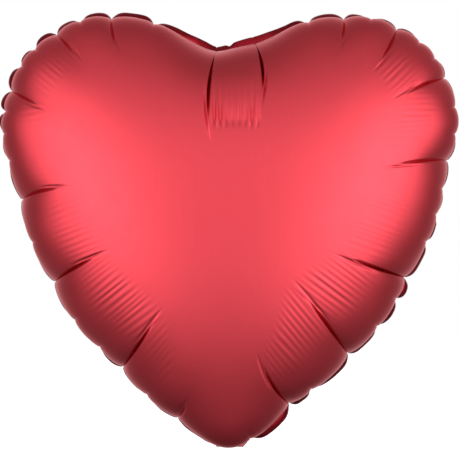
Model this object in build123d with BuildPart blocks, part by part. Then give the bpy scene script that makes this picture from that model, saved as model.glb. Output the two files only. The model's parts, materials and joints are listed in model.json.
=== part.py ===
"""Heart-shaped foil balloon, inflated, in millimetres.

Two die-cut foil panels are heat-sealed together along a narrow flat margin and stand apart as two domes.
Below the point of the heart both films run on as a narrow tail. A two-ply film valve lies between them: its
inner half reaches up into the balloon and its outer half lies in the tail. The tail is folded up behind the
balloon and hinges on its crease.

Frame: +Z up, the front panel faces -Y, and +X is to the viewer's right. The origin is on the tail's crease,
in the plane of the seal, where the ribbon is tied.
"""

import os
from math import acos, atan2, degrees, hypot

from build123d import *

# Driving dimensions of the inflated balloon
WIDTH = 370.0
HEIGHT = 349.0
THICKNESS = 160.0
FILM = 0.8  # thickness of each film as modelled
SEAL_MARGIN = 6.0  # width of the flat heat-sealed rim

# Outer edge of the rim: two lobe arcs, two long side arcs and the arc at the point; in the cleft, a small arc
# and a straight slope up to each lobe
LOBE_RADIUS = 92.0
SIDE_RADIUS = 350.0
POINT_RADIUS = 36.0
CLEFT_DEPTH = 29.0
CLEFT_RADIUS = 12.0
POINT_LIFT = 1.5  # the point's arc stands this far above the tail's crease

# The dome narrows as it rises: each level is the seal's outline scaled about the dome's middle
DOME_MIDDLE_Z = 0.55 * HEIGHT
DOME_LEVELS = [1.0, 0.985, 0.93, 0.80, 0.55, 0.25]
DOME_ROUNDNESS = 2.5

# Tail, curled up behind the balloon
TAIL_WIDTH = 30.0
TAIL_LENGTH = 70.0
TAIL_CURL_RADIUS = 75.0
TAIL_START_ANGLE = 8.0  # above the horizontal, where the tail leaves its crease
TAIL_GAP = 1.5  # from the crease's axis to the first of the tail
TAIL_CORNER = 6.0
NECK_GAP = 0.5  # from the crease's axis up to the panels' neck

# Valve: two plies in a shallow channel pressed into the faces of the panels and the tail
PLY = 0.3
PLY_GAP = 0.05  # each ply's distance from the seal's plane
PLY_WIDTH = 20.0
CHANNEL_WIDTH = 22.0
CHANNEL_DEPTH = 0.4
CHANNEL_TOP_Z = 14.0  # clear of the seal, which curves up beside the channel
VALVE_TOP_Z = 78.0
CHANNEL_END = 53.0  # along the tail
TAIL_PLY_END = 38.0

# Holes in the tail, by distance along it
FILL_PORT_RADIUS = 5.0
FILL_PORT_AT = 46.0
RIBBON_HOLE_RADIUS = 2.5
RIBBON_HOLE_AT = 62.0


def circle_inside(centre_1, reach_1, centre_2, reach_2):
    """The point on the left that lies reach_1 from centre_1 and reach_2 from centre_2."""
    run, rise = centre_2[0] - centre_1[0], centre_2[1] - centre_1[1]
    apart = hypot(run, rise)
    along = (reach_1**2 - reach_2**2 + apart**2) / (2 * apart)
    aside = (reach_1**2 - along**2) ** 0.5
    return (
        centre_1[0] + (along * run + aside * rise) / apart,
        centre_1[1] + (along * rise - aside * run) / apart,
    )


def bearing(centre, point):
    """Direction from one point to another, in degrees."""
    return degrees(atan2(point[1] - centre[1], point[0] - centre[0]))


LOBE = (WIDTH / 2 - LOBE_RADIUS, HEIGHT - LOBE_RADIUS)
POINT = (0.0, POINT_LIFT + POINT_RADIUS)
SIDE = circle_inside(LOBE, SIDE_RADIUS - LOBE_RADIUS, POINT, SIDE_RADIUS - POINT_RADIUS)
CLEFT = (0.0, HEIGHT - CLEFT_DEPTH + CLEFT_RADIUS)
# A slope touches its lobe and the cleft's arc on opposite sides, so it crosses the line between their centres
CLEFT_APART = hypot(LOBE[0], CLEFT[1] - LOBE[1])
SLOPE_BEARING = bearing(LOBE, CLEFT) - degrees(acos((LOBE_RADIUS + CLEFT_RADIUS) / CLEFT_APART))


def heart_arcs(inset, size):
    """Centre, radius, start and sweep of each arc of the outline, stepped in by inset and scaled."""
    lobe_end, point_start = bearing(SIDE, LOBE), bearing(SIDE, POINT)
    cleft_end = SLOPE_BEARING - 180
    lobe = (LOBE, LOBE_RADIUS - inset, SLOPE_BEARING, lobe_end - SLOPE_BEARING)
    side = (SIDE, SIDE_RADIUS - inset, lobe_end, point_start - lobe_end)
    right = [lobe, side]
    left = [((-x, z), radius, 180 - start, -sweep) for (x, z), radius, start, sweep in right]
    point = (POINT, POINT_RADIUS - inset, point_start, -180 - 2 * point_start)
    cleft = (CLEFT, CLEFT_RADIUS + inset, cleft_end, -180 - 2 * cleft_end)
    return [
        ((x * size, DOME_MIDDLE_Z + (z - DOME_MIDDLE_Z) * size), radius * size, start, sweep)
        for (x, z), radius, start, sweep in (*right, point, *left, cleft)
    ]


def heart_face(rise=0.0, inset=0.0, size=1.0):
    """The heart's face, that far in front of the seal's plane."""
    with BuildSketch(Plane.XZ.offset(rise)) as face:
        with BuildLine():
            arcs = [CenterArc(*arc) for arc in heart_arcs(inset, size)]
            right_lobe, _, _, left_lobe, _, cleft = arcs
            Line(cleft @ 0, right_lobe @ 0)
            Line(cleft @ 1, left_lobe @ 0)
        make_face()
    return face.sketch


def dome_faces(inset, height):
    """The heart's face at each level of a dome, from the seal's plane towards -Y."""
    return [heart_face(height * (1 - size**DOME_ROUNDNESS) ** 0.5, inset, size) for size in DOME_LEVELS]


def front_half():
    """The front panel: a thin dome with its flat sealed rim, its neck and its half of the valve's channel."""
    with BuildPart() as panel:
        extrude(heart_face(), amount=FILM)
        with BuildSketch(Plane.XZ):
            with Locations((0, NECK_GAP)):
                Rectangle(TAIL_WIDTH, POINT[1], align=(Align.CENTER, Align.MIN))
        extrude(amount=FILM)
        loft(dome_faces(SEAL_MARGIN, THICKNESS / 2))
        loft(dome_faces(SEAL_MARGIN + FILM, THICKNESS / 2 - FILM), mode=Mode.SUBTRACT)
        with BuildSketch(Plane.XZ):
            Rectangle(CHANNEL_WIDTH, 2 * CHANNEL_TOP_Z)
        extrude(amount=CHANNEL_DEPTH, mode=Mode.SUBTRACT)
    return panel.part


# In the YZ plane the curl's centre is square to the tail's start, which lies on the crease at the origin
CURL_SPOKE = Vector(-TAIL_CURL_RADIUS, 0).rotate(Axis.Z, -90 + TAIL_START_ANGLE)
CURL_CENTRE = (CURL_SPOKE.X, CURL_SPOKE.Y)


def along_tail(distance):
    """Bearing of a place on the tail from the centre of its curl, in degrees."""
    return -90 + TAIL_START_ANGLE + degrees(distance / TAIL_CURL_RADIUS)


def tail_point(distance, radius):
    """(y, z) of a place on the curled tail, by distance along it and radius of its layer."""
    spoke = Vector(radius, 0).rotate(Axis.Z, along_tail(distance))
    return CURL_CENTRE[0] + spoke.X, CURL_CENTRE[1] + spoke.Y


def curled_profile(inner, outer, start, end):
    """The side view of a curled layer between two radii and two distances along the tail."""
    first, sweep = along_tail(start), degrees((end - start) / TAIL_CURL_RADIUS)
    with BuildSketch(Plane.YZ) as profile:
        with BuildLine():
            CenterArc(CURL_CENTRE, inner, first, sweep)
            CenterArc(CURL_CENTRE, outer, first, sweep)
            Line(tail_point(start, inner), tail_point(start, outer))
            Line(tail_point(end, inner), tail_point(end, outer))
        make_face()
    return profile.sketch


def hole_plane(distance):
    """A plane square to the tail's film at a distance along it, whose normal points away from the balloon."""
    y, z = tail_point(distance, TAIL_CURL_RADIUS)
    normal = Vector(0, y - CURL_CENTRE[0], z - CURL_CENTRE[1])
    return Plane(origin=(0, y, z), x_dir=(1, 0, 0), z_dir=normal)


def tail_film(side):
    """One film of the tail: side is 1 for the outer one, from the front panel, and -1 for the inner one."""
    inner, outer = sorted((TAIL_CURL_RADIUS, TAIL_CURL_RADIUS + side * FILM))
    floor, roof = sorted((TAIL_CURL_RADIUS, TAIL_CURL_RADIUS + side * CHANNEL_DEPTH))
    with BuildPart() as film:
        extrude(curled_profile(inner, outer, TAIL_GAP, TAIL_LENGTH), amount=TAIL_WIDTH / 2, both=True)
        last_y = tail_point(TAIL_LENGTH, inner)[0] - FILM
        corners = [
            edge
            for edge in film.edges().filter_by(GeomType.LINE)
            if edge.length < 2 * FILM and edge.center().Y > last_y
        ]
        fillet(corners, TAIL_CORNER)
        channel = curled_profile(floor, roof, 0, CHANNEL_END)
        extrude(channel, amount=CHANNEL_WIDTH / 2, both=True, mode=Mode.SUBTRACT)
        with BuildSketch(hole_plane(RIBBON_HOLE_AT)):
            Circle(RIBBON_HOLE_RADIUS)
        extrude(amount=2 * FILM, both=True, mode=Mode.SUBTRACT)
        if side > 0:
            with BuildSketch(hole_plane(FILL_PORT_AT)):
                Circle(FILL_PORT_RADIUS)
            extrude(amount=2 * FILM, both=True, mode=Mode.SUBTRACT)
    return film.part


def tail_ply(side):
    """The valve ply that lies in the tail, against the film on that side."""
    inner, outer = sorted(TAIL_CURL_RADIUS + side * offset for offset in (PLY_GAP, PLY_GAP + PLY))
    with BuildPart() as ply:
        extrude(curled_profile(inner, outer, TAIL_GAP, TAIL_PLY_END), amount=PLY_WIDTH / 2, both=True)
    return ply.part


def inner_ply(side):
    """The valve ply that stands inside the balloon: side is 1 for the front one."""
    with BuildPart() as ply:
        with BuildSketch(Plane.XZ.offset(side * PLY_GAP)):
            with Locations((0, NECK_GAP)):
                Rectangle(PLY_WIDTH, VALVE_TOP_Z - NECK_GAP, align=(Align.CENTER, Align.MIN))
        extrude(amount=side * PLY)
    return ply.part


front_panel = front_half()
with BuildPart() as back:
    mirror(front_panel, about=Plane.XZ)

pieces = {
    "front_panel": front_panel,
    "back_panel": back.part,
    "valve_front_film": inner_ply(1),
    "valve_back_film": inner_ply(-1),
    "tail_front_film": tail_film(1),
    "tail_back_film": tail_film(-1),
    "tail_valve_front_film": tail_ply(1),
    "tail_valve_back_film": tail_ply(-1),
}

os.makedirs("parts", exist_ok=True)
for name, piece in pieces.items():
    piece.label = name
    export_step(piece, f"parts/{name}.step")

for name, distance, radius in (
    ("fill port", FILL_PORT_AT, TAIL_CURL_RADIUS + (CHANNEL_DEPTH + FILM) / 2),
    ("ribbon hole", RIBBON_HOLE_AT, TAIL_CURL_RADIUS),
):
    place = tail_point(distance, radius)
    normal = hole_plane(distance).z_dir
    print(name, "at", [0, round(place[0], 3), round(place[1], 3)], "axis", [round(x, 5) for x in normal])
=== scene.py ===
"""Looks of the heart-shaped foil balloon: puckered foil panels, the heat-sealed rim, the tail and its valve.

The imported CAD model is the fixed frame, in metres. The script's own lengths are in millimetres, times MM.
Clock angles are in degrees about MIDDLE, clockwise from the top, seen from the front.
"""

import json
import math

import bpy
import numpy as np
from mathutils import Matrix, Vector


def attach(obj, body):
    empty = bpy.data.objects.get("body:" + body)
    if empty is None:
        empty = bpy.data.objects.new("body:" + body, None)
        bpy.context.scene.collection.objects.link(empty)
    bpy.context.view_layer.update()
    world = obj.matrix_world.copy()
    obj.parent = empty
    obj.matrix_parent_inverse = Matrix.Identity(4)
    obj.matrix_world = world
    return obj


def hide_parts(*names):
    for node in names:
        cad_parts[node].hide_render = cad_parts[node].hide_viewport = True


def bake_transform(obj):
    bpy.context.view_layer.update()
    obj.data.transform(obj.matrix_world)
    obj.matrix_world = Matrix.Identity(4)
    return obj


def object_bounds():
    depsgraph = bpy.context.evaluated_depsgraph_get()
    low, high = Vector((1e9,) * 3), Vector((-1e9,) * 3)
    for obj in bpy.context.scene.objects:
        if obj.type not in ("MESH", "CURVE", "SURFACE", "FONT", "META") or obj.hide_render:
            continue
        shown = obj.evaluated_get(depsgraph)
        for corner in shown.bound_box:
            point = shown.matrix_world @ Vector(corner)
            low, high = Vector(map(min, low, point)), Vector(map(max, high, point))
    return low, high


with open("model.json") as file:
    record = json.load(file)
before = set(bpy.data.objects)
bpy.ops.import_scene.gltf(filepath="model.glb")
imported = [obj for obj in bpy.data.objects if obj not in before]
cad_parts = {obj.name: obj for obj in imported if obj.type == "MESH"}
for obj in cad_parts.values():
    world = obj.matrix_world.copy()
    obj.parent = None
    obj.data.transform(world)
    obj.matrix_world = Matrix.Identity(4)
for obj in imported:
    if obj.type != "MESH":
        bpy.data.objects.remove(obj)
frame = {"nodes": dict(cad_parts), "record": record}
cad_box = [list(corner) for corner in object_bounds()]

MM = 0.001
SEED = 20

# Outline of the weld, clockwise: the right half from the bottom of the cleft to the point, then the left half
OUTLINE = [
    (-10, 317.5), (15.5, 322.5), (33.4, 328.5), (61.6, 339.6), (98, 344), (139.6, 333.4), (170.5, 302),
    (181, 261.5), (172.7, 217.7), (157, 165), (128, 111.5), (93, 70), (52.2, 36.3), (22, 10.2), (0, 0.8),
    (-23, 9), (-55.2, 32.5), (-94, 69.5), (-130, 110.5), (-157.6, 164.5), (-173.4, 218), (-181.5, 262),
    (-169.6, 301.6), (-138.5, 332.5), (-98.5, 344.4), (-62, 339), (-32, 325.5),
]
MIDDLE = (0.0, 192.0)  # every radial line of the panels' grid ends here
HALF_THICKNESS = 78.0
DOME_FLATNESS = 1.2  # 1 is an ellipse from rim to rim, and more is flatter in the middle

COLUMNS = 1200
RINGS = 80
COARSE = (360, 40)  # columns and rings of the grid on which the inflated rise is solved
MOST_STEPS = 4000
SOLVED = 1e-14  # the solver stops when the squared error has fallen to this share

# Puckers of the rim: clock angle, length on the front, depth, sideways lean of the inner end, and how strong
# the ripples are between it and the next long pucker
PUCKERS = [
    (-5, 64, 13.0, -8, 0.0), (8.5, 44, 12.0, 5, 0.0), (23, 9, 2.6, 0, 0), (31, 22, 5.0, 0, 0.5),
    (37, 8, 2.2, 0, 0), (43, 34, 5.5, 2, 0.6), (49, 8, 2.6, 0, 0), (54, 8, 2.2, 0, 0),
    (59, 38, 6.0, -3, 0.45), (66, 8, 2.6, 0, 0), (72, 9, 2.9, 0, 0), (78, 44, 6.0, 4, 0.35),
    (85, 8, 2.0, 0, 0), (92, 9, 2.6, 0, 0), (100, 10, 2.4, 0, 0), (112, 50, 9.0, 5, 0.8),
    (119, 8, 1.8, 0, 0), (129, 9, 2.8, 0, 0), (141, 60, 7.5, -4, 0.8), (156, 9, 2.8, 0, 0),
    (163, 42, 7.5, 4, 0.25), (175, 9, 2.4, 0, 0), (-166, 15, 4.2, 0, 0.35), (-156, 9, 2.6, 0, 0),
    (-146, 46, 8.0, 3, 1.0), (-137, 9, 2.4, 0, 0), (-126, 9, 2.6, 0, 0), (-113, 42, 7.5, 3, 0.7),
    (-100, 9, 2.6, 0, 0), (-88, 36, 6.0, 4, 0.25), (-78, 8, 2.4, 0, 0), (-72, 8, 2.2, 0, 0),
    (-67, 7, 2.4, 0, 0), (-62, 28, 5.5, -3, 0.45), (-56, 8, 2.6, 0, 0), (-51, 8, 2.8, 0, 0),
    (-45, 26, 4.8, 3, 0.3), (-39, 8, 2.9, 0, 0), (-32, 26, 5.2, 0, 0.15), (-22.5, 9, 2.6, 0, 0),
]
LONG_PUCKER = 3.0  # puckers at least this deep run on into the panel; the others only notch the rim
PUCKER_REACH = 13.0  # half the width of the dip on each side of a pucker
NOTCH_REACH = 9.0
SCALLOP = 1.6  # how far the rim swells out between two puckers
FOLD_REACH = 2.3  # half the width of the sharp fold along its middle
TWIN_ASIDE = 3.0  # the weaker fold beside the inner end of a long one
DIP_SHARE = 0.34  # of a pucker's depth, that its wide dip takes
FOLD_SHARE = 0.62  # and its sharp fold
TWIN_SHARE = 0.22  # and the weaker fold beside it
BULGE = 3.0  # how far the foil swells between two long puckers, most at BULGE_PEAK from the rim
BULGE_PEAK = 16.0
RIM_SWAY = 2.2  # how far the rim wanders to the front and back
PAINTED_FOLD_SHADE = "fold_shade"  # the films' attribute that holds how deep in a fold each point lies, where the foil's colour is darkened as painted shade

RIPPLE = 4.6  # mm from one ripple to the next
RIPPLE_HEIGHT = 0.16

# The rippled ramp on the front, between the two folds that run down from the cleft
RAMP_SIDES = (-17.0, 27.0)
RAMP_TOP = 295.0
RAMP_END = 256.0
RAMP_RIPPLE = 5.0
RAMP_HEIGHT = 0.8
RAMP_STEP = 0.7  # how far it lies below the foil beneath it


# Weld margin: clock angle, and how far it leans to the back there, in degrees from the plane of the weld
MARGIN_LEAN = [
    (-180, 76), (-150, 78), (-125, 82), (-90, 86), (-72, 66), (-64, 56), (-38, 56), (-28, 50), (-14, 34),
    (-9, 22), (-5, 46), (1, 30), (7, 20), (13, 26), (18, 44), (24, 50), (32, 66), (60, 88), (86, 78),
    (94, 58), (108, 60), (124, 46), (132, 66), (146, 56), (160, 62), (166, 36), (172, 34), (180, 70),
]
GATHERED_LEAN = 92.0  # the lean at a pucker, where the margin is drawn in behind the rim
MARGIN_WIDTH = 6.0
NECK_MARGIN = 1.2  # what is left of its width across the neck
MARGIN_THICKNESS = 0.24
NECK_HALF_WIDTH = 15.0

# Tail: it leaves the crease at the origin and curls up behind the balloon
TAIL_WIDTH = 30.0
TAIL_LENGTH = 70.0
WAIST = 21.6  # width at the crease, where the neck is gathered
WAIST_REACH = 9.0
CURL_RADIUS = 75.0
CURL_START = 8.0  # degrees above the horizontal
NECK_TOP = 9.0
TAIL_CORNER = 6.0
TAIL_WELD = 3.2  # width of the weld along each edge
TAIL_GAP = 0.10  # each film's distance from the middle at the welds
TAIL_PILLOW = 0.5  # how much further it stands off between the welds, round the valve
TAIL_CRUMPLE = 0.10
EDGE_WAVE = 0.9  # how far the tail's edges wave, and EDGE_CURL how far they curl towards the balloon
EDGE_CURL = 0.5
SHEET_THICKNESS = 0.12
PUNCH_DEPTH = 8.0  # length of the cutters for the tail's two holes

FLOOR_DROP = 130.0  # the floor's depth below the crease, well clear of the hanging tail
FLOOR_RADIUS = 6000.0

CAMERA_DISTANCE = 2400.0
CAMERA_HEIGHT = 173.75
PICTURE_WIDTH = (cad_box[1][0] - cad_box[0][0]) / MM  # the picture takes in the whole width of the heart
SENSOR_WIDTH = 36.0

DIM = 0.32  # strength of the studio's light from every side
# Azimuth (0 is the camera's side), elevation, half width, softness and strength of each light, in degrees.
# The last two take light away behind the balloon, above and below
LAMPS = [
    (0, 4, 8, 72, 0.80),
    (-49, 0, 8, 39, 2.1),
    (49, 0, 8, 39, 2.4),
    (180, 5, 10, 50, 0.9),
    (0, 90, 30, 60, 0.16),
    (180, 62, 15, 40, -0.12),
    (180, -62, 15, 40, -0.18),
]


def smooth_step(value, low, high):
    """0 below low, 1 above high, smooth between."""
    t = np.clip((value - low) / (high - low), 0, 1)
    return t * t * (3 - 2 * t)


def catmull_rom(a, b, c, d, t):
    """The smooth curve through a, b, c and d, read between b (t = 0) and c (t = 1)."""
    return 0.5 * (2 * b + (c - a) * t + (2 * a - 5 * b + 4 * c - d) * t**2 + (3 * b - a - 3 * c + d) * t**3)


def spline(points, steps):
    """A smooth closed curve through the points, with that many points between each two."""
    p = np.array(points, float)
    t = np.linspace(0, 1, steps, endpoint=False)[:, None]
    corners = zip(np.roll(p, 1, 0), p, np.roll(p, -1, 0), np.roll(p, -2, 0))
    return np.concatenate([catmull_rom(a, b, c, d, t) for a, b, c, d in corners])


def soften(values, passes):
    """Averages each row with its neighbours round a closed loop."""
    for _ in range(passes):
        values = 0.5 * values + 0.25 * (np.roll(values, 1, 0) + np.roll(values, -1, 0))
    return values


class Rim:
    """The weld's outline by distance along it, clockwise from the cleft."""

    def __init__(self):
        line = spline(OUTLINE, 200)
        step = np.linalg.norm(np.roll(line, -1, 0) - line, axis=1)
        self.along = np.concatenate([[0], np.cumsum(step)])
        self.length = self.along[-1]
        self.line = np.concatenate([line, line[:1]])
        samples = 1440
        even = self.at(np.arange(samples) * self.length / samples, self.line)
        tangent = np.roll(even, -1, 0) - np.roll(even, 1, 0)
        inward = np.stack([tangent[:, 1], -tangent[:, 0]], 1)
        inward = soften(inward / np.linalg.norm(inward, axis=1)[:, None], 1600)
        inward /= np.linalg.norm(inward, axis=1)[:, None]
        self.even = np.arange(samples + 1) * self.length / samples
        self.inward = np.concatenate([inward, inward[:1]])

    def at(self, s, values=None, where=None):
        where = self.along if where is None else where
        values = self.line if values is None else values
        s = np.mod(s, self.length)
        return np.stack([np.interp(s, where, values[:, k]) for k in range(values.shape[1])], 1)

    def inward_at(self, s):
        n = self.at(s, self.inward, self.even)
        return n / np.linalg.norm(n, axis=1)[:, None]

    def clock(self, degrees):
        """Distance along the rim at a clock angle about the middle."""
        angle = np.degrees(np.arctan2(self.line[:-1, 0] - MIDDLE[0], self.line[:-1, 1] - MIDDLE[1]))
        off = np.abs((angle - degrees + 180) % 360 - 180)
        return self.along[np.argmin(off)]


RIM = Rim()


def radial_grid(s, t):
    """Points (x, z) on lines that leave the rim at right angles and meet in the middle.

    One line leaves the rim at each distance in s, and has a point at each fraction in t.
    """
    start, inward = RIM.at(s), RIM.inward_at(s)
    middle = np.array(MIDDLE)
    handle = start + inward * (0.28 * np.linalg.norm(middle - start, axis=1))[:, None]
    t = t[None, :, None]
    return (1 - t) ** 2 * start[:, None] + 2 * t * (1 - t) * handle[:, None] + t**2 * middle


def solve_rise():
    """The height of a soap film blown up on the outline: 0 at the rim, 1 at its top, on the coarse grid.

    Cotangent weights make the grid's Laplacian, and conjugate gradients solve it for an even load.
    """
    n, m = COARSE
    s = np.arange(n) * RIM.length / n
    grid = radial_grid(s, np.linspace(0, 1, m + 1))
    grid[:, m] = MIDDLE

    def cotangent(a, b, corner):
        """Half the cotangent of the angle at corner, between the points a and b."""
        u, v = a - corner, b - corner
        cross = u[..., 0] * v[..., 1] - u[..., 1] * v[..., 0]
        return 0.5 * (u * v).sum(-1) / np.maximum(np.abs(cross), 1e-9)

    p00, p10 = grid[:, :-1], np.roll(grid, -1, 0)[:, :-1]
    p01, p11 = grid[:, 1:], np.roll(grid, -1, 0)[:, 1:]
    # Each cell is cut along p00 to p11. Weights: along the ring, along the column and across the cell
    ring, column, across = np.zeros((n, m + 1)), np.zeros((n, m)), np.zeros((n, m))
    ring[:, :-1] += cotangent(p00, p10, p11)
    ring[:, 1:] += cotangent(p01, p11, p00)
    column += cotangent(p00, p01, p11)
    column += np.roll(cotangent(p10, p11, p00), 1, 0)
    across += cotangent(p00, p11, p10) + cotangent(p00, p11, p01)
    ring[:, m] = 0

    def cell_area(a, b, c):
        u, v = b - a, c - a
        return 0.5 * np.abs(u[..., 0] * v[..., 1] - u[..., 1] * v[..., 0])

    first, second = cell_area(p00, p10, p11), cell_area(p00, p11, p01)
    load = np.zeros((n, m + 1))
    load[:, :-1] += (first + second + np.roll(first, 1, 0)) / 3
    load[:, 1:] += (second + np.roll(first + second, 1, 0)) / 3

    def tie(u):
        """The middle is one point, shared by all columns, and the rim stays at 0."""
        u = u.copy()
        u[:, m] = u[:, m].sum()
        u[:, 0] = 0
        return u

    def laplacian(u):
        out = np.zeros_like(u)
        flow = ring * (u - np.roll(u, -1, 0))
        out += flow - np.roll(flow, 1, 0)
        flow = column * (u[:, :-1] - u[:, 1:])
        out[:, :-1] += flow
        out[:, 1:] -= flow
        flow = across * (u[:, :-1] - np.roll(u, -1, 0)[:, 1:])
        out[:, :-1] += flow
        out[:, 1:] -= np.roll(flow, 1, 0)
        return tie(out)

    share = np.ones((n, m + 1))
    share[:, m] = 1 / n  # the middle's n copies count once
    u = np.zeros((n, m + 1))
    residual = tie(load)
    search = residual.copy()
    size = (residual * residual * share).sum()
    start = size
    for _ in range(MOST_STEPS):
        pushed = laplacian(search)
        step = size / (search * pushed * share).sum()
        u += step * search
        residual -= step * pushed
        new = (residual * residual * share).sum()
        if new < SOLVED * start:
            break
        search = residual + (new / size) * search
        size = new
    return s, u / u.max()


def cubic(values, where, closed):
    """Catmull-Rom reading of the rows of an array at fractional row numbers."""
    base = np.floor(where).astype(int)
    t = (where - base)[:, None]
    rows = len(values)

    def row(k):
        return values[k % rows] if closed else values[np.clip(k, 0, rows - 1)]

    a, b, c, d = row(base - 1), row(base), row(base + 1), row(base + 2)
    if not closed:  # past either end the rows go on in a straight line
        a = np.where((base == 0)[:, None], 2 * b - c, a)
        d = np.where((base >= rows - 2)[:, None], 2 * c - b, d)
    return catmull_rom(a, b, c, d, t)


def column_places():
    """Where the columns stand along the rim: closer together at the puckers."""
    fine = np.arange(0, RIM.length, 0.25)
    density = np.ones(len(fine))
    for clock, _, depth, lean, _ in PUCKERS:
        middle = RIM.clock(clock) + 0.5 * lean
        off = (fine - middle + RIM.length / 2) % RIM.length - RIM.length / 2
        density += 0.5 * depth * np.exp(-((off / (2.2 + 0.5 * abs(lean))) ** 2))
    total = np.concatenate([[0], np.cumsum(density)])
    return np.interp(np.arange(COLUMNS) * total[-1] / COLUMNS, total, np.append(fine, RIM.length))


def ring_places():
    """How far in each ring lies, from 0 at the rim to 1 at the middle: closer together near the rim."""
    t = np.linspace(0, 1, RINGS + 1)
    return 0.55 * t**2.6 + 0.45 * t**1.7


def hump(x):
    """1 at 0, with a sharp crest that falls away in a round shoulder to 0 at 1."""
    x = np.clip(np.abs(x), 0, 1)
    return 1 - np.sqrt(1 - (1 - x) ** 2)


def cross_normals(p):
    """Unit normals of a grid of points, columns closed round, pointing out of the front."""
    along = np.roll(p, -1, 0) - np.roll(p, 1, 0)
    inward = np.gradient(p, axis=1)
    n = np.cross(inward, along)
    size = np.linalg.norm(n, axis=2, keepdims=True)
    return n / np.maximum(size, 1e-12)


S_PLACES = column_places()
T_PLACES = ring_places()


def inflated_form():
    """The smooth blown-up form of the front panel: points and outward normals, and what creasing it needs.

    That is each point's distance from the rim, level and along the film, and how its columns draw together.
    """
    _, rise = solve_rise()
    rise = cubic(rise, S_PLACES / RIM.length * COARSE[0], closed=True)
    rise = cubic(rise.T.copy(), T_PLACES * COARSE[1], closed=False).T
    flat = radial_grid(S_PLACES, T_PLACES)
    height = HALF_THICKNESS * np.sqrt(1 - (1 - np.clip(rise, 0, 1)) ** DOME_FLATNESS)
    points = np.stack([flat[..., 0], -height, flat[..., 1]], 2)
    normals = cross_normals(points)
    inward = RIM.inward_at(S_PLACES)
    normals[:, 0] = np.stack([-inward[:, 0], np.zeros(COLUMNS), -inward[:, 1]], 1)
    normals[:, -1] = (0, -1, 0)
    step_in = np.linalg.norm(np.diff(flat, axis=1), axis=2)
    inset = np.concatenate([np.zeros((COLUMNS, 1)), np.cumsum(step_in, 1)], 1)
    step_film = np.linalg.norm(np.diff(points, axis=1), axis=2)
    film = np.concatenate([np.zeros((COLUMNS, 1)), np.cumsum(step_film, 1)], 1)
    spacing = np.linalg.norm(np.roll(flat, -1, 0) - np.roll(flat, 1, 0), axis=2)
    spread = spacing / spacing[:, :1]
    return points, normals, inset, film, spread


def noise_round(places, waves, seed, low=2):
    """Smooth random values along the rim, within about -1 to 1."""
    draw = np.random.default_rng(seed)
    out = np.zeros(np.shape(places))
    for k in range(low, low + waves):
        out = out + draw.normal() * np.sin(2 * np.pi * (k * places / RIM.length + draw.random()))
    return out / math.sqrt(waves / 2) / 1.6



def off_pucker(clock):
    """Signed distance along the rim from a pucker to each column."""
    return (S_PLACES[:, None] - RIM.clock(clock) + RIM.length / 2) % RIM.length - RIM.length / 2


def gathering():
    """How much the rim is gathered: fully where it curves outwards, and not at all in the cleft."""
    rim = RIM.at(S_PLACES)
    clock = np.degrees(np.arctan2(rim[:, 0] - MIDDLE[0], rim[:, 1] - MIDDLE[1]))
    return smooth_step(np.abs(clock), 11, 27)


def mid_scallop():
    """1 half-way between two puckers and 0 at each, for every column."""
    at = np.sort([RIM.clock(p[0]) for p in PUCKERS])
    bay = np.searchsorted(at, S_PLACES, side="right") - 1
    start, end = at[bay], at[(bay + 1) % len(at)]
    return np.sin(np.pi * ((S_PLACES - start) % RIM.length) / ((end - start) % RIM.length))


def ripple_field(puckers, flat):
    """Strength, inner end and phase of the ripples in each bay between long puckers, and where its middle is.

    The ripples of one bay are parallel, and square to the line between its two puckers.
    """
    long = sorted((RIM.clock(p[0]), p[1], p[4]) for p in puckers if p[2] >= LONG_PUCKER)
    at = np.array([p[0] for p in long])
    reach = np.array([p[1] for p in long]) * 1.22
    strength = np.array([p[2] for p in long])
    bay = np.searchsorted(at, S_PLACES, side="right") - 1
    after = (bay + 1) % len(at)
    share = ((S_PLACES - at[bay]) % RIM.length) / ((at[after] - at[bay]) % RIM.length)
    ends = reach[bay] * (1 - smooth_step(share, 0, 1)) + reach[after] * smooth_step(share, 0, 1)
    first, last = RIM.at(at[bay]), RIM.at(at[after])
    chord = (last - first) / np.linalg.norm(last - first, axis=1)[:, None]
    phase = ((flat - first[:, None]) * chord[:, None]).sum(2) / RIPPLE
    within = strength[bay] * (1 - (2 * share - 1) ** 8)
    return within[:, None], ends[:, None], phase, np.sin(np.pi * share)[:, None]


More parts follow.
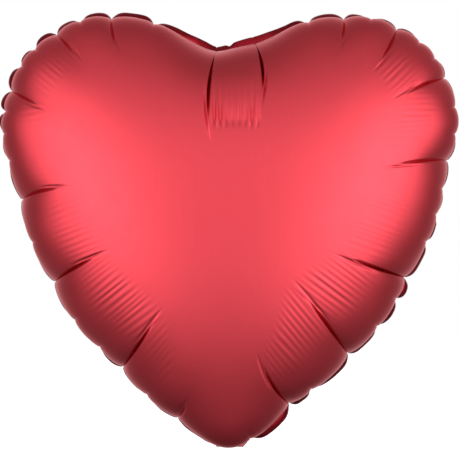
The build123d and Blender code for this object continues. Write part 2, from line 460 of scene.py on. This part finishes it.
def puckered(form, puckers, seed):
    """How far each grid point moves along its normal, in mm, and how deep in a fold it lies, from 0 to 1, for
    the painted shade in the folds.

    The rim dips and folds at the puckers, and bulges and ripples between them.
    """
    points, _, inset, film, spread = form
    s = S_PLACES[:, None]
    gathered = gathering()[:, None]
    move, fold_shade = np.zeros_like(inset), np.zeros_like(inset)
    for clock, length, depth, lean, _ in puckers:
        off = off_pucker(clock)
        go = np.clip(inset / length, 0, 1)
        aside = off * spread - lean * np.sin(0.5 * np.pi * go)
        if depth < LONG_PUCKER:
            fade = np.exp(-((film / 16) ** 1.5)) * (1 - smooth_step(film, 14, 36))
            move -= depth * fade * (0.8 * hump(aside / NOTCH_REACH) + 0.2 * hump(aside / FOLD_REACH))
            continue
        dip = DIP_SHARE * depth * gathered * hump(aside / PUCKER_REACH) * (1 - smooth_step(go, 0.0, 0.9))
        reach = FOLD_REACH * (0.45 + 0.55 * smooth_step(go, 0.05, 0.5))
        deep = (0.1 + 0.25 * gathered + 0.65 * smooth_step(go, 0.05, 0.4)) * (1 - smooth_step(go, 0.6, 1.0))
        fold = FOLD_SHARE * depth * deep * hump(aside / reach)
        shut = smooth_step(go, 0.0, 0.12) * (1 - smooth_step(go, 0.5, 0.95)) * smooth_step(depth, 4, 12)
        # painted shade mask: near 1 deep inside a closed fold, where the foil's colour is darkened
        fold_shade = np.maximum(fold_shade, shut * smooth_step(1 - np.abs(aside) / reach, 0.35, 0.8))
        far = np.clip(inset / (1.3 * length), 0, 1)
        twin = hump((aside - math.copysign(TWIN_ASIDE, lean) * (1.3 - far)) / 2.0)
        twin = TWIN_SHARE * depth * twin * smooth_step(far, 0.35, 0.6) * (1 - smooth_step(far, 0.7, 1.0))
        move -= dip + fold + twin
    strength, ends, phase, middle_of_bay = ripple_field(puckers, points[..., ::2])
    bulge = film / BULGE_PEAK * np.exp(1 - film / BULGE_PEAK) * (1 - smooth_step(film, 30, 80))
    move += BULGE * bulge * middle_of_bay * (0.3 + 0.7 * gathered)
    move += SCALLOP * gathered * mid_scallop()[:, None] * np.exp(-film / 9) * (1 - smooth_step(film, 10, 30))
    stretch = smooth_step(inset / ends, 0.24, 0.62) * (1 - smooth_step(inset / ends, 0.86, 1.12))
    stretch = stretch * strength * np.clip(0.85 + 0.25 * noise_round(s, 30, seed, low=12), 0.3, 1.2)
    wander = 0.22 * noise_round(s, 40, seed + 1, low=20)
    move += RIPPLE_HEIGHT * stretch * np.cos(2 * np.pi * (phase + wander))
    return move, fold_shade


def ramp(points):
    """Upright ripples on the slope below the cleft, which end in a step."""
    x, z = points[..., 0], points[..., 2]
    wave = np.cos(2 * np.pi * x / RAMP_RIPPLE)
    end = RAMP_END - 1.3 * wave
    left, right = RAMP_SIDES
    across = smooth_step(x, left, left + 5) * (1 - smooth_step(x, right - 8, right))
    down = smooth_step(RAMP_TOP - z, 0, 0.8 * (RAMP_TOP - RAMP_END)) * smooth_step(z, end - 2, end + 2)
    return across * down * (RAMP_HEIGHT * wave - RAMP_STEP)


def film_points(side, puckers, seed):
    """The grid of one foil panel, side -1 for the front or 1 for the back, and how folded each point is, for
    the painted shade in the folds.
    """
    points, normals, inset, film, spread = FORM
    move, fold_shade = puckered(FORM, puckers, seed)
    if side < 0:
        move += ramp(points)
    moved = points + normals * move[..., None]
    moved[..., 1] *= -side
    sway = RIM_SWAY * noise_round(S_PLACES, 22, SEED + 7, low=6)
    moved[..., 1] += sway[:, None] * np.exp(-film / 22)
    return moved, fold_shade


FORM = inflated_form()


def back_puckers():
    """The rim's notches go on into the back panel to other lengths."""
    draw = np.random.default_rng(SEED + 5)
    puckers = []
    for clock, length, depth, lean, strength in PUCKERS:
        length *= draw.uniform(0.75, 1.35)
        strength = np.clip(strength + draw.uniform(-0.3, 0.3), 0, 1)
        puckers.append((clock, length, depth, -lean, strength))
    return puckers


class Paint:
    """A principled material and the few nodes that give it its grain, in the piece's own coordinates."""

    def __init__(self, name):
        self.material = bpy.data.materials.new(name)
        self.material.use_nodes = True
        self.tree = self.material.node_tree
        self.shader = self.tree.nodes["Principled BSDF"]
        self.place = self.tree.nodes.new("ShaderNodeTexCoord").outputs["Object"]

    def set(self, socket, value):
        self.shader.inputs[socket].default_value = value

    def noise(self, scale, stretch=(1, 1, 1), detail=3.0):
        """A noise value; stretch is how much finer it is along each axis."""
        mapping = self.tree.nodes.new("ShaderNodeMapping")
        mapping.inputs["Scale"].default_value = stretch
        self.tree.links.new(self.place, mapping.inputs["Vector"])
        noise = self.tree.nodes.new("ShaderNodeTexNoise")
        noise.inputs["Scale"].default_value = scale
        noise.inputs["Detail"].default_value = detail
        self.tree.links.new(mapping.outputs[0], noise.inputs["Vector"])
        return noise.outputs[0]

    def tone(self, value, dark, light):
        """The base colour runs from dark to light with the noise."""
        mix = self.tree.nodes.new("ShaderNodeMix")
        mix.data_type = "RGBA"
        mix.inputs["A"].default_value = (*dark, 1)
        mix.inputs["B"].default_value = (*light, 1)
        self.tree.links.new(value, mix.inputs["Factor"])
        self.tree.links.new(mix.outputs["Result"], self.shader.inputs["Base Color"])

    def shade(self, attribute, dark):
        """Painted shade: the base colour turns dark where the piece's attribute is 1."""
        value = self.tree.nodes.new("ShaderNodeAttribute")
        value.attribute_name = attribute
        mix = self.tree.nodes.new("ShaderNodeMix")
        mix.data_type = "RGBA"
        mix.inputs["B"].default_value = (*dark, 1)
        tone = self.shader.inputs["Base Color"].links[0].from_socket
        self.tree.links.new(value.outputs["Fac"], mix.inputs["Factor"])
        self.tree.links.new(tone, mix.inputs["A"])
        self.tree.links.new(mix.outputs["Result"], self.shader.inputs["Base Color"])

    def roughness(self, value, low, high):
        spread = self.tree.nodes.new("ShaderNodeMapRange")
        spread.inputs["From Min"].default_value = 0.3
        spread.inputs["From Max"].default_value = 0.7
        spread.inputs["To Min"].default_value = low
        spread.inputs["To Max"].default_value = high
        self.tree.links.new(value, spread.inputs["Value"])
        self.tree.links.new(spread.outputs[0], self.shader.inputs["Roughness"])

    def relief(self, value, depth, strength):
        bump = self.tree.nodes.new("ShaderNodeBump")
        bump.inputs["Distance"].default_value = depth
        bump.inputs["Strength"].default_value = strength
        self.tree.links.new(value, bump.inputs["Height"])
        self.tree.links.new(bump.outputs[0], self.shader.inputs["Normal"])


def satin_foil():
    """Red metallised film with a satin face and the faint upright streaks of the rolled film, and painted
    shade darkening the insides of its folds.
    """
    paint = Paint("satin_foil")
    paint.set("Metallic", 1.0)
    paint.tone(paint.noise(500, (1, 1, 0.03)), (0.803, 0.070, 0.092), (0.837, 0.075, 0.098))
    # painted shade: the base colour darkens inside the folds, standing in for the dim light between their
    # facing walls
    paint.shade(PAINTED_FOLD_SHADE, (0.36, 0.004, 0.012))
    paint.roughness(paint.noise(60), 0.34, 0.38)
    paint.relief(paint.noise(1500, detail=1.0), 0.02 * MM, 0.5)
    return paint.material


def glossy_foil():
    """The same film where the two layers are welded flat: shinier and finely crinkled, with a darker base
    colour that is partly the weld's own and partly painted shade for the dark reflections along the margin.
    """
    paint = Paint("glossy_foil")
    paint.set("Metallic", 1.0)
    # darker base colour: partly the weld's own tone, partly painted shade standing in for the margin's dark
    # reflections
    paint.tone(paint.noise(120), (0.22, 0.006, 0.012), (0.50, 0.022, 0.038))
    paint.roughness(paint.noise(200), 0.10, 0.20)
    paint.relief(paint.noise(350), 0.15 * MM, 0.5)
    return paint.material


def add_piece(name, verts, faces, material):
    """A smooth mesh object from points in millimetres."""
    mesh = bpy.data.meshes.new(name)
    mesh.from_pydata((np.asarray(verts) * MM).tolist(), [], [list(map(int, f)) for f in faces])
    mesh.polygons.foreach_set("use_smooth", [True] * len(mesh.polygons))
    mesh.materials.append(material)
    piece = bpy.data.objects.new(name, mesh)
    bpy.context.scene.collection.objects.link(piece)
    return piece


def foil_panel(name, points, fold_shade, flip):
    """A panel of columns closed round, whose last ring is one point. It keeps how folded each point is, the
    mask of the painted shade in the folds.
    """
    n, m = points.shape[:2]
    verts = np.concatenate([points[:, :-1].reshape(-1, 3), points[:1, -1]])
    index = np.arange(n * (m - 1)).reshape(n, m - 1)
    a, b = index[:, :-1], np.roll(index, -1, 0)[:, :-1]
    c, d = np.roll(index, -1, 0)[:, 1:], index[:, 1:]
    quads = np.stack([a, b, c, d], 2).reshape(-1, 4)
    tips = np.stack([index[:, -1], np.roll(index[:, -1], -1), np.full(n, n * (m - 1))], 1)
    if flip:
        quads, tips = quads[:, ::-1], tips[:, ::-1]
    piece = add_piece(name, verts, quads.tolist() + tips.tolist(), FOIL)
    # the mask of the painted shade in the folds, which the foil's colour reads
    attribute = piece.data.attributes.new(PAINTED_FOLD_SHADE, "FLOAT", "POINT")
    attribute.data.foreach_set("value", np.append(fold_shade[:, :-1], 0.0))
    return piece


FOIL = satin_foil()
GLOSS = glossy_foil()

front_grid, front_fold_shade = film_points(-1, PUCKERS, SEED)
back_grid, back_fold_shade = film_points(1, back_puckers(), SEED + 3)
front = foil_panel("front_film", front_grid, front_fold_shade, flip=False)
back = foil_panel("back_film", back_grid, back_fold_shade, flip=True)
for film, node in ((front, "front_panel"), (back, "back_panel")):
    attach(film, "envelope")
    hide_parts(node)


def weld_margin():
    """The flat welded strip outside the seam, gathered with it, and narrow where the neck leaves it."""
    seam = front_grid[:, 0]
    flat = RIM.at(S_PLACES)
    outward = -RIM.inward_at(S_PLACES)
    clocks = np.degrees(np.arctan2(flat[:, 0] - MIDDLE[0], flat[:, 1] - MIDDLE[1]))
    keys, leans = zip(*MARGIN_LEAN)
    lean = np.interp(clocks, keys, leans) + 4 * noise_round(S_PLACES, 40, SEED + 9, low=14)
    lean = np.radians(lean + (GATHERED_LEAN - lean) * gathering() * (1 - mid_scallop()) ** 3)
    neck = smooth_step(np.abs(flat[:, 0]) / NECK_HALF_WIDTH + (flat[:, 1] > 60), 0.75, 1.3)
    width = NECK_MARGIN + (MARGIN_WIDTH - NECK_MARGIN) * neck
    rows = []
    steps = np.array([-0.2, 0.1, 0.3, 0.5, 0.7, 0.87, 1.0])
    for layer in (-1, 1):
        for step in steps if layer < 0 else steps[::-1]:
            angle = lean * (0.7 + 0.3 * step)
            level, rearward = np.cos(angle), np.sin(angle)
            way = np.stack([outward[:, 0] * level, rearward, outward[:, 1] * level], 1)
            face = np.stack([-outward[:, 0] * rearward, level, -outward[:, 1] * rearward], 1)
            rows.append(seam + way * (width * step)[:, None] + face * layer * MARGIN_THICKNESS / 2)
    grid = np.stack(rows, 1)
    n, m = grid.shape[:2]
    index = np.arange(n * m).reshape(n, m)
    after = np.roll(index, -1, 0)
    faces = np.stack([index, np.roll(index, -1, 1), np.roll(after, -1, 1), after], 2)
    return add_piece("weld_margin", grid.reshape(-1, 3), faces.reshape(-1, 4), GLOSS)


margin = weld_margin()
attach(margin, "envelope")

def tail_place(along):
    """Points (y, z) of the tail's middle layer at distances along it, and its outward unit normals."""
    start = math.radians(CURL_START - 90)
    centre = -CURL_RADIUS * np.array([math.cos(start), math.sin(start)])
    turn = start + np.maximum(along, 0) / CURL_RADIUS
    normal = np.stack([np.cos(turn), np.sin(turn)], -1)
    point = centre + CURL_RADIUS * normal
    neck = along < 0
    point[neck] = np.stack([np.zeros(neck.sum()), -along[neck]], -1)
    normal[neck] = (-1, 0)
    blend = smooth_step(along, -2.0, 1.0)[..., None]
    normal = (1 - blend) * np.array([-1.0, 0.0]) + blend * normal
    return point, normal / np.linalg.norm(normal, axis=-1, keepdims=True)


def crumples(u, v, seed):
    """Shallow uneven creases over the tail, at u across it and v along it."""
    draw = np.random.default_rng(seed)
    total = 0
    for _ in range(8):
        height = draw.normal()
        across = np.sin(u * draw.uniform(3, 9) + draw.uniform(0, 6))
        down = np.sin(v / draw.uniform(5, 14) + draw.uniform(0, 6))
        total = total + height * across * down
    return total


def slab_faces(n, m):
    """Faces of a closed slab from two n by m layers of points: both layers and the edge all round."""
    index = np.arange(2 * n * m).reshape(2, n, m)
    faces = []
    for k in (0, 1):
        corners = index[k, :-1, :-1], index[k, 1:, :-1], index[k, 1:, 1:], index[k, :-1, 1:]
        quads = np.stack(corners, -1).reshape(-1, 4)
        faces += (quads if k else quads[:, ::-1]).tolist()
    loop = [(i, 0) for i in range(n)] + [(n - 1, j) for j in range(1, m)]
    loop += [(i, m - 1) for i in range(n - 2, -1, -1)] + [(0, j) for j in range(m - 2, 0, -1)]
    for a, b in zip(loop, loop[1:] + loop[:1]):
        faces.append([index[0][a], index[0][b], index[1][b], index[1][a]])
    return faces


def tail_sheet(name, side):
    """One film of the neck and tail: side 1 lies away from the balloon, -1 next to it."""
    neck, crease = np.linspace(-NECK_TOP, -1.5, 8), np.linspace(-1, 1.5, 9)
    along = np.concatenate([neck, crease, np.linspace(2.2, TAIL_LENGTH, 80)])
    u, v = np.meshgrid(np.linspace(-1, 1, 41), along, indexing="ij")
    to_end = np.clip((v - TAIL_LENGTH + TAIL_CORNER) / TAIL_CORNER, 0, 1)
    half = TAIL_WIDTH / 2 - TAIL_CORNER * (1 - np.sqrt(1 - to_end**2))
    half -= (TAIL_WIDTH - WAIST) / 2 * np.exp(-((v / WAIST_REACH) ** 2))
    x = u * half
    weld = smooth_step(TAIL_WIDTH / 2 - np.abs(x), TAIL_WELD - 1.0, TAIL_WELD + 1.5)
    end = 1 - smooth_step(v, TAIL_LENGTH - 16, TAIL_LENGTH - 8)
    crumple = TAIL_CRUMPLE * np.abs(crumples(u, v, SEED + 11 + side)) * smooth_step(v, 3, 14)
    lift = TAIL_GAP + weld * (TAIL_PILLOW * end + crumple)
    edge = smooth_step(np.abs(u), 0.70, 1.0) * smooth_step(v, 4, 30)
    sway = (EDGE_WAVE * np.sin(v / 11 + 0.6) * np.sign(u) + EDGE_CURL) * edge
    point, normal = tail_place(v)
    layers = []
    for layer in (0, 1):
        off = side * (lift + layer * SHEET_THICKNESS) - sway
        place = point + normal * off[..., None]
        layers.append(np.stack([x, place[..., 0], place[..., 1]], -1))
    return add_piece(name, np.stack(layers).reshape(-1, 3), slab_faces(*x.shape), FOIL)


def punch(piece, name):
    """Cuts the round hole of one of the record's mounts through a tail sheet."""
    mount = next(entry for entry in frame["record"]["mounts"] if entry["name"] == name)
    radius = mount["dims"]["r_mm"] * MM
    bpy.ops.mesh.primitive_cylinder_add(vertices=48, radius=radius, depth=PUNCH_DEPTH * MM)
    cutter = bpy.context.object
    cutter.location = mount["pos_m"]
    cutter.rotation_euler = Vector(mount["axis"]).to_track_quat("Z", "Y").to_euler()
    cut = piece.modifiers.new("hole", "BOOLEAN")
    cut.object = cutter
    cut.operation = "DIFFERENCE"
    cut.solver = "EXACT"
    bpy.context.view_layer.objects.active = piece
    bpy.ops.object.modifier_apply(modifier=cut.name)
    bpy.data.objects.remove(cutter)


for name, node, side in (
    ("tail_outer_sheet", "tail_front_film", 1),
    ("tail_inner_sheet", "tail_back_film", -1),
):
    sheet = tail_sheet(name, side)
    punch(sheet, "ribbon_hole")
    if side > 0:
        punch(sheet, "fill_port")
    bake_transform(sheet)
    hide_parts(node)


def valve_film():
    """Milky translucent polyethylene with a faint haze."""
    paint = Paint("valve_film")
    paint.set("Transmission Weight", 0.6)
    paint.tone(paint.noise(150), (0.80, 0.82, 0.85), (0.92, 0.93, 0.95))
    paint.roughness(paint.noise(400), 0.24, 0.40)
    paint.relief(paint.noise(250), 0.05 * MM, 0.5)
    return paint.material


VALVE = valve_film()
for node in ("valve_front_film", "valve_back_film", "tail_valve_front_film", "tail_valve_back_film"):
    slots = frame["nodes"][node].data.materials
    slots.clear()
    slots.append(VALVE)


def pale_floor():
    """A pale round floor well below the hanging tail."""
    bpy.ops.mesh.primitive_circle_add(vertices=96, radius=FLOOR_RADIUS * MM, fill_type="NGON")
    floor = bpy.context.object
    floor.location = (0, 0, -FLOOR_DROP * MM)
    floor.name = "floor"
    material = bpy.data.materials.new("pale_floor")
    material.use_nodes = True
    shader = material.node_tree.nodes["Principled BSDF"]
    shader.inputs["Base Color"].default_value = (0.9, 0.9, 0.9, 1)
    shader.inputs["Roughness"].default_value = 0.8
    shader.inputs["Emission Color"].default_value = (1, 1, 1, 1)
    shader.inputs["Emission Strength"].default_value = 0.8
    floor.data.materials.append(material)
    floor.visible_glossy = False


pale_floor()


def studio():
    """Soft boxes in front of a dim room, which the camera itself sees as plain white."""
    world = bpy.data.worlds.new("studio")
    bpy.context.scene.world = world
    world.use_nodes = True
    tree = world.node_tree
    tree.nodes.clear()
    new, link = tree.nodes.new, tree.links.new
    place = new("ShaderNodeTexCoord")

    def math_node(operation, *values):
        node = new("ShaderNodeMath")
        node.operation = operation
        for socket, value in zip(node.inputs, values):
            if isinstance(value, (int, float)):
                socket.default_value = value
            else:
                link(value, socket)
        return node.outputs[0]

    def glow(azimuth, elevation, half, soft, strength):
        """Light from round a direction: full within half degrees, and fading over the next soft degrees."""
        a, e = math.radians(azimuth), math.radians(elevation)
        dot = new("ShaderNodeVectorMath")
        dot.operation = "DOT_PRODUCT"
        link(place.outputs["Generated"], dot.inputs[0])
        dot.inputs[1].default_value = (math.sin(a) * math.cos(e), -math.cos(a) * math.cos(e), math.sin(e))
        cosine = math_node("MINIMUM", math_node("MAXIMUM", dot.outputs["Value"], -1.0), 1.0)
        angle = math_node("ARCCOSINE", cosine)
        fade = new("ShaderNodeMapRange")
        fade.interpolation_type = "SMOOTHSTEP"
        fade.inputs["From Min"].default_value = math.radians(half + soft)
        fade.inputs["From Max"].default_value = math.radians(half)
        fade.inputs["To Max"].default_value = strength
        link(angle, fade.inputs["Value"])
        return fade.outputs[0]

    total = DIM
    for lamp in LAMPS:
        total = math_node("ADD", total, glow(*lamp))
    lit = new("ShaderNodeBackground")
    link(total, lit.inputs["Strength"])
    pale = new("ShaderNodeBackground")
    pale.inputs["Color"].default_value = (1, 1, 1, 1)
    rays = new("ShaderNodeLightPath")
    mix = new("ShaderNodeMixShader")
    link(rays.outputs["Is Camera Ray"], mix.inputs[0])
    link(lit.outputs[0], mix.inputs[1])
    link(pale.outputs[0], mix.inputs[2])
    out = new("ShaderNodeOutputWorld")
    link(mix.outputs[0], out.inputs["Surface"])


studio()


def make_camera():
    """Straight in front, level with the middle of the heart, which fills the width of the picture."""
    camera = bpy.data.cameras.new("camera")
    holder = bpy.data.objects.new("camera", camera)
    bpy.context.scene.collection.objects.link(holder)
    holder.location = (0, -CAMERA_DISTANCE * MM, CAMERA_HEIGHT * MM)
    holder.rotation_euler = (math.pi / 2, 0, 0)
    camera.sensor_width = SENSOR_WIDTH
    camera.lens = SENSOR_WIDTH * CAMERA_DISTANCE / PICTURE_WIDTH
    bpy.context.scene.camera = holder


make_camera()
bpy.context.scene.view_settings.view_transform = "Standard"
